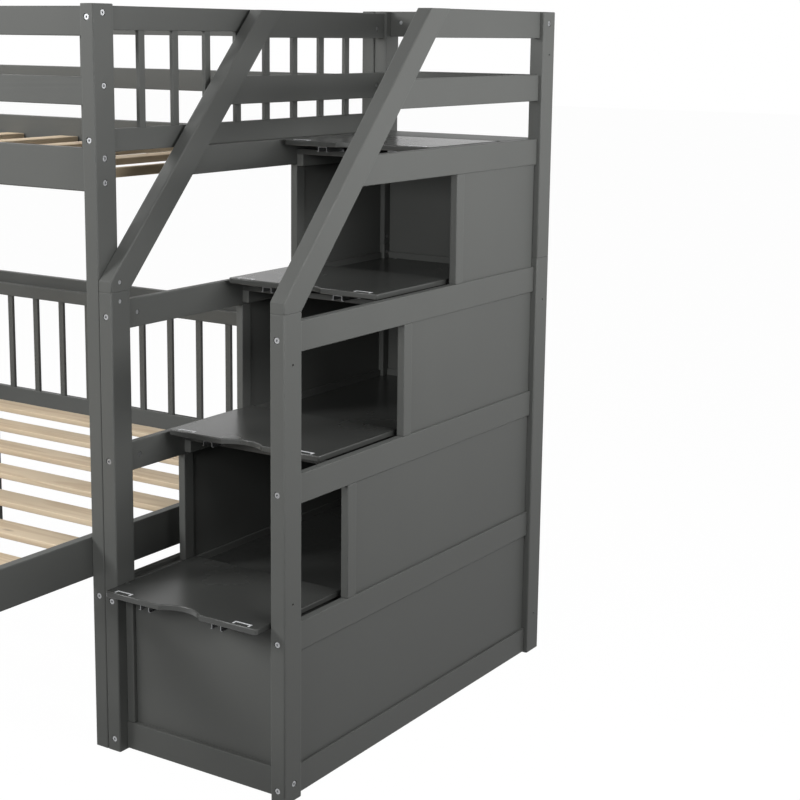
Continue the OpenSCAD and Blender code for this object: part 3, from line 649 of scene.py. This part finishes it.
class BUNK_OT_upper_slats(bpy.types.Operator):
    """Planed slats and end battens of the upper bunk"""
    bl_idname = "bunk.upper_slats"
    bl_label = "Upper slats"

    def execute(self, context):
        size = settings().bunk_slats
        wood = finish("bare_wood_crosswise", lambda: bare_wood("crosswise"))
        for k, (low, high) in enumerate(solids_of("bunk_slats")):
            bm = slat_mesh(low, high, 1, size.edge, size.sag * sag_share(k, UPPER_SAG))
            piece = object_from(bm, "upper_slat_%02d" % (k + 1), wood, "frame")
            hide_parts("bunk_slats")
        return {"FINISHED"}


class BUNK_OT_lower_slats(bpy.types.Operator):
    """Planed slats of the lower bed"""
    bl_idname = "bunk.lower_slats"
    bl_label = "Lower slats"

    def execute(self, context):
        size = settings().bunk_slats
        wood = finish("bare_wood_lengthwise", lambda: bare_wood("lengthwise"))
        for k, (low, high) in enumerate(solids_of("lower_slats")):
            bm = slat_mesh(low, high, 0, size.edge, size.sag * sag_share(k, LOWER_SAG))
            piece = object_from(bm, "lower_slat_%02d" % (k + 1), wood, "frame")
            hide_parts("lower_slats")
        return {"FINISHED"}


def swept_arc(bm, start, centre, angle, steps):
    """Spins a vertex about an upright axis into an arc of edges and returns the last vertex."""
    arc = bmesh.ops.spin(bm, geom=[start], cent=centre, axis=(0, 0, 1), angle=angle,
                         steps=steps, use_merge=False, dvec=(0, 0, 0))
    return [g for g in arc["geom_last"] if isinstance(g, bmesh.types.BMVert)][0]


def tread_mesh(low, high, size):
    """A tread board: the outline is spun round its corners and its notch, then thickened."""
    bm = bmesh.new()
    half = size.notch_width / 2
    radius = (half * half + size.notch_depth ** 2) / (2 * size.notch_depth)
    opening = 2 * math.asin(half / radius)
    middle = (low.x + high.x) / 2
    r = size.corner
    top = high.z
    quarter = math.radians(90)

    start = bm.verts.new((middle - half, low.y, top))
    centre = Vector((middle, low.y - radius + size.notch_depth, top))
    end = swept_arc(bm, start, centre, -opening, NOTCH_STEPS)
    right = bm.verts.new((high.x - r, low.y, top))
    bm.edges.new((end, right))
    side = swept_arc(bm, right, (high.x - r, low.y + r, top), quarter, CORNER_STEPS)
    back_right = bm.verts.new((high.x, high.y, top))
    back_left = bm.verts.new((low.x, high.y, top))
    left = bm.verts.new((low.x, low.y + r, top))
    bm.edges.new((side, back_right))
    bm.edges.new((back_right, back_left))
    bm.edges.new((back_left, left))
    last = swept_arc(bm, left, (low.x + r, low.y + r, top), quarter, CORNER_STEPS)
    bm.edges.new((last, start))
    face = bmesh.ops.contextual_create(bm, geom=bm.edges[:])["faces"]
    down = bmesh.ops.extrude_face_region(bm, geom=face)
    moved = [g for g in down["geom"] if isinstance(g, bmesh.types.BMVert)]
    bmesh.ops.translate(bm, vec=(0, 0, low.z - high.z), verts=moved)
    bmesh.ops.recalc_face_normals(bm, faces=bm.faces)
    rim = [e for e in bm.edges if len(e.link_faces) == 2
           and any(abs(f.normal.z) > LEVEL_FACE for f in e.link_faces)
           and any(abs(f.normal.z) < UPRIGHT_FACE for f in e.link_faces)]
    bevel_edges(bm, rim, size.edge, ROUND_FACETS)
    return bm


class BUNK_OT_treads(bpy.types.Operator):
    """Sliding treads with routed edges and a finger notch"""
    bl_idname = "bunk.treads"
    bl_label = "Treads"

    def execute(self, context):
        size = settings().bunk_treads
        # the tread boards get the darkened tread paint, a painted shade
        paint = finish("tread_paint", lambda: painted_timber("upright", "tread_paint"))
        for name, body in zip(TREADS, BODIES):
            low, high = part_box(name)
            bm = tread_mesh(low, high - Vector((0, 0, PLATE_PROUD)), size)
            piece = object_from(bm, name + "_board", paint, body, FACET)
            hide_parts(name)
        return {"FINISHED"}


def outer_chains(bm):
    """Chains of sharp convex edges with a long member: ends and grooves, but no bores."""
    left = {e for e in bm.edges if len(e.link_faces) == 2 and e.is_convex
            and e.calc_face_angle() > ARRIS_ANGLE}
    chains = []
    for start in bm.edges:
        if start in left:
            chain = gather(start, left, lambda e: [o for v in e.verts for o in v.link_edges])
            if max(e.calc_length() for e in chain) > BORE_EDGE:
                chains.append(chain)
    return chains


def eased_mesh(node, width):
    """The timbers of a node with the edges of their sawn ends and grooves eased."""
    bm = bmesh.new()
    bm.from_mesh(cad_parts[node].data)
    bmesh.ops.remove_doubles(bm, verts=bm.verts, dist=WELD)
    bmesh.ops.dissolve_limit(bm, angle_limit=SAME_PLANE, verts=bm.verts[:],
                             edges=bm.edges[:], use_dissolve_boundaries=False, delimit=set())
    # each chain gets a bevel of its own, so that the tightest doesn't narrow the rest; a bevel
    # replaces edges, so the chains are searched again before the next one
    for _ in outer_chains(bm):
        chains = outer_chains(bm)
        if chains:
            bevel_edges(bm, chains[0], width, EASED_FACETS)
    return bm


class BUNK_OT_painted_timber(bpy.types.Operator):
    """Posts, rails, stiles, balusters and handrails with eased edges and grey paint"""
    bl_idname = "bunk.painted_timber"
    bl_label = "Painted timber"

    def execute(self, context):
        edge = settings().bunk_finish.eased_edge
        for names, run in ((UPRIGHT, "upright"), (LENGTHWISE, "lengthwise"),
                           (CROSSWISE, "crosswise"), (SLOPING, "sloping")):
            paint = finish("painted_timber_" + run, lambda: painted_timber(run))
            for name in names:
                piece = object_from(eased_mesh(name, edge), name + "_timber", paint, "frame",
                                    FACET)
                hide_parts(name)
        return {"FINISHED"}


class BUNK_OT_painted_boards(bpy.types.Operator):
    """Grey paint on panels, floors and the landing"""
    bl_idname = "bunk.painted_boards"
    bl_label = "Painted boards"

    def execute(self, context):
        for names, paint in ((BOARDS, "panel_paint"), (TREAD_BOARDS, "tread_paint")):
            dress(names, finish(paint, lambda: painted_timber("upright", paint)))
        return {"FINISHED"}


class BUNK_OT_bare_cleats(bpy.types.Operator):
    """Bare wood of the lower cleats and the dowels"""
    bl_idname = "bunk.bare_cleats"
    bl_label = "Cleats and dowels"

    def execute(self, context):
        for name, run in (("lower_cleats", "crosswise"), ("split_dowels", "upright")):
            dress([name], finish("bare_wood_" + run, lambda: bare_wood(run)))
        return {"FINISHED"}


class BUNK_OT_zinc(bpy.types.Operator):
    """Zinc plate on bolts, nuts, screws, slides and tread plates"""
    bl_idname = "bunk.zinc"
    bl_label = "Zinc-plated steel"

    def execute(self, context):
        for names, title, shade, roughness, metallic in ZINC_LOOKS:
            dress(names, finish(title, lambda: plated_steel(title, shade, roughness, metallic)))
        return {"FINISHED"}


def white_for_camera(tree, shader, output, part=1.0, strength=1.0):
    """Shows white to camera, glossy and clear rays and leaves the light on the object as it is."""
    nodes, links = tree.nodes, tree.links
    path = add(nodes, "LightPath", (-800, 400))
    seen = path.outputs["Is Camera Ray"]
    for k, ray in enumerate(("Is Glossy Ray", "Is Transmission Ray")):
        either = add(nodes, "Math", (-560 + 180 * k, 400), operation="MAXIMUM")
        join(links, (seen, either.inputs[0]), (path.outputs[ray], either.inputs[1]))
        seen = either.outputs["Value"]
    share = add(nodes, "Math", (-180, 400), {1: part}, operation="MULTIPLY")
    kind = "Background" if output.bl_idname == "ShaderNodeOutputWorld" else "Emission"
    white = add(nodes, kind, (-180, 150), {"Color": (1, 1, 1, 1), "Strength": strength})
    mix = add(nodes, "MixShader", (50, 200))
    join(links,
         (seen, share.inputs[0]),
         (share.outputs["Value"], mix.inputs["Fac"]),
         (shader, mix.inputs[1]),
         (white.outputs[0], mix.inputs[2]),
         (mix.outputs[0], output.inputs["Surface"]))


def add_floor():
    """A matt floor that takes the object's shadow and looks white."""
    bm = bmesh.new()
    bmesh.ops.create_grid(bm, x_segments=1, y_segments=1, size=FLOOR_HALF)
    mesh = bpy.data.meshes.new("floor")
    bm.to_mesh(mesh)
    bm.free()
    floor = bpy.data.objects.new("floor", mesh)
    bpy.context.scene.collection.objects.link(floor)
    floor.location.z = -FLOOR_DROP
    plain, nodes, _, shader = new_material("pale_floor")
    shader.inputs["Base Color"].default_value = (FLOOR_GREY, FLOOR_GREY, FLOOR_GREY, 1.0)
    shader.inputs["Roughness"].default_value = 1.0
    shader.inputs["Specular IOR Level"].default_value = 0.0
    white_for_camera(plain.node_tree, shader.outputs["BSDF"], nodes["Material Output"],
                     *FLOOR_WHITE)
    mesh.materials.append(plain)


def add_lamp(name, place, target, size, power):
    data = bpy.data.lights.new(name, "AREA")
    data.shape = "RECTANGLE"
    data.size, data.size_y = size
    data.energy = power
    lamp = bpy.data.objects.new(name, data)
    bpy.context.scene.collection.objects.link(lamp)
    lamp.location = place
    aim = Vector(target) - Vector(place)
    lamp.rotation_euler = aim.to_track_quat("-Z", "Y").to_euler()
    lamp.visible_camera = False


def add_room(strength):
    """Even light that fades towards the zenith; the camera sees white."""
    world = bpy.data.worlds.new("room")
    bpy.context.scene.world = world
    world.use_nodes = True
    tree = world.node_tree
    nodes = tree.nodes
    coords = add(nodes, "TexCoord", (-1100, -100))
    parts = add(nodes, "SeparateXYZ", (-900, -100))
    dim = add(nodes, "MapRange", (-700, -100),
              {"From Min": 0.15, "From Max": 0.75, "To Min": 1.0, "To Max": 0.12},
              interpolation_type="SMOOTHSTEP")
    join(tree.links,
         (coords.outputs["Generated"], parts.inputs["Vector"]),
         (parts.outputs["Z"], dim.inputs["Value"]),
         (dim.outputs["Result"], nodes["Background"].inputs["Color"]))
    nodes["Background"].inputs["Strength"].default_value = strength
    white_for_camera(tree, nodes["Background"].outputs[0], nodes["World Output"])


def add_camera(look):
    scene = bpy.context.scene
    data = bpy.data.cameras.new("camera")
    data.sensor_width = SENSOR_WIDTH
    data.lens = look.lens
    middle = PICTURE_SIDE / 2
    data.shift_x = (middle - OPTICAL_CENTRE[0]) / PICTURE_SIDE
    data.shift_y = (OPTICAL_CENTRE[1] - middle) / PICTURE_SIDE
    data.clip_end = 100.0
    camera = bpy.data.objects.new("camera", data)
    scene.collection.objects.link(camera)
    turn = (Matrix.Rotation(look.heading, 3, "Z")
            @ Matrix.Rotation(math.radians(90) - look.tilt, 3, "X")
            @ Matrix.Rotation(look.roll, 3, "Z"))
    camera.location = look.place
    camera.rotation_euler = turn.to_euler()
    scene.camera = camera


class BUNK_OT_stage(bpy.types.Operator):
    """Pale floor, soft lamps, room light and the camera"""
    bl_idname = "bunk.stage"
    bl_label = "Stage"

    def execute(self, context):
        look = context.scene.bunk_stage
        add_floor()
        for name, place, target, size, power in LAMPS:
            add_lamp(name, place, target, size, getattr(look, power))
        add_room(look.sky)
        add_camera(look)
        context.scene.view_settings.view_transform = "Standard"
        return {"FINISHED"}


class BUNK_PT_panel(bpy.types.Panel):
    """Everything that dresses the bunk bed"""
    bl_idname = "BUNK_PT_panel"
    bl_label = "Bunk Bed"
    bl_space_type = "VIEW_3D"
    bl_region_type = "UI"
    bl_category = "Bunk Bed"

    def draw(self, context):
        column = self.layout.column()
        for _, name in SETTINGS:
            block = column.box()
            holder = getattr(context.scene, name)
            for key in holder.__annotations__:
                block.prop(holder, key)
        for operator in OPERATORS:
            column.operator(operator.bl_idname)


SETTINGS = (
    (BunkSlatSettings, "bunk_slats"),
    (BunkTreadSettings, "bunk_treads"),
    (BunkFinishSettings, "bunk_finish"),
    (BunkStageSettings, "bunk_stage"),
)
OPERATORS = (
    BUNK_OT_upper_slats, BUNK_OT_lower_slats, BUNK_OT_treads, BUNK_OT_painted_timber,
    BUNK_OT_painted_boards, BUNK_OT_bare_cleats, BUNK_OT_zinc, BUNK_OT_stage,
)


def register():
    for group, name in SETTINGS:
        bpy.utils.register_class(group)
        setattr(bpy.types.Scene, name, bpy.props.PointerProperty(type=group))
    for operator in OPERATORS:
        bpy.utils.register_class(operator)
    bpy.utils.register_class(BUNK_PT_panel)


def unregister():
    bpy.utils.unregister_class(BUNK_PT_panel)
    for operator in reversed(OPERATORS):
        bpy.utils.unregister_class(operator)
    for group, name in reversed(SETTINGS):
        delattr(bpy.types.Scene, name)
        bpy.utils.unregister_class(group)


def main():
    register()
    bpy.ops.bunk.upper_slats()
    bpy.ops.bunk.lower_slats()
    bpy.ops.bunk.treads()
    bpy.ops.bunk.painted_timber()
    bpy.ops.bunk.painted_boards()
    bpy.ops.bunk.bare_cleats()
    bpy.ops.bunk.zinc()
    bpy.ops.bunk.stage()


if __name__ == "__main__":
    main()
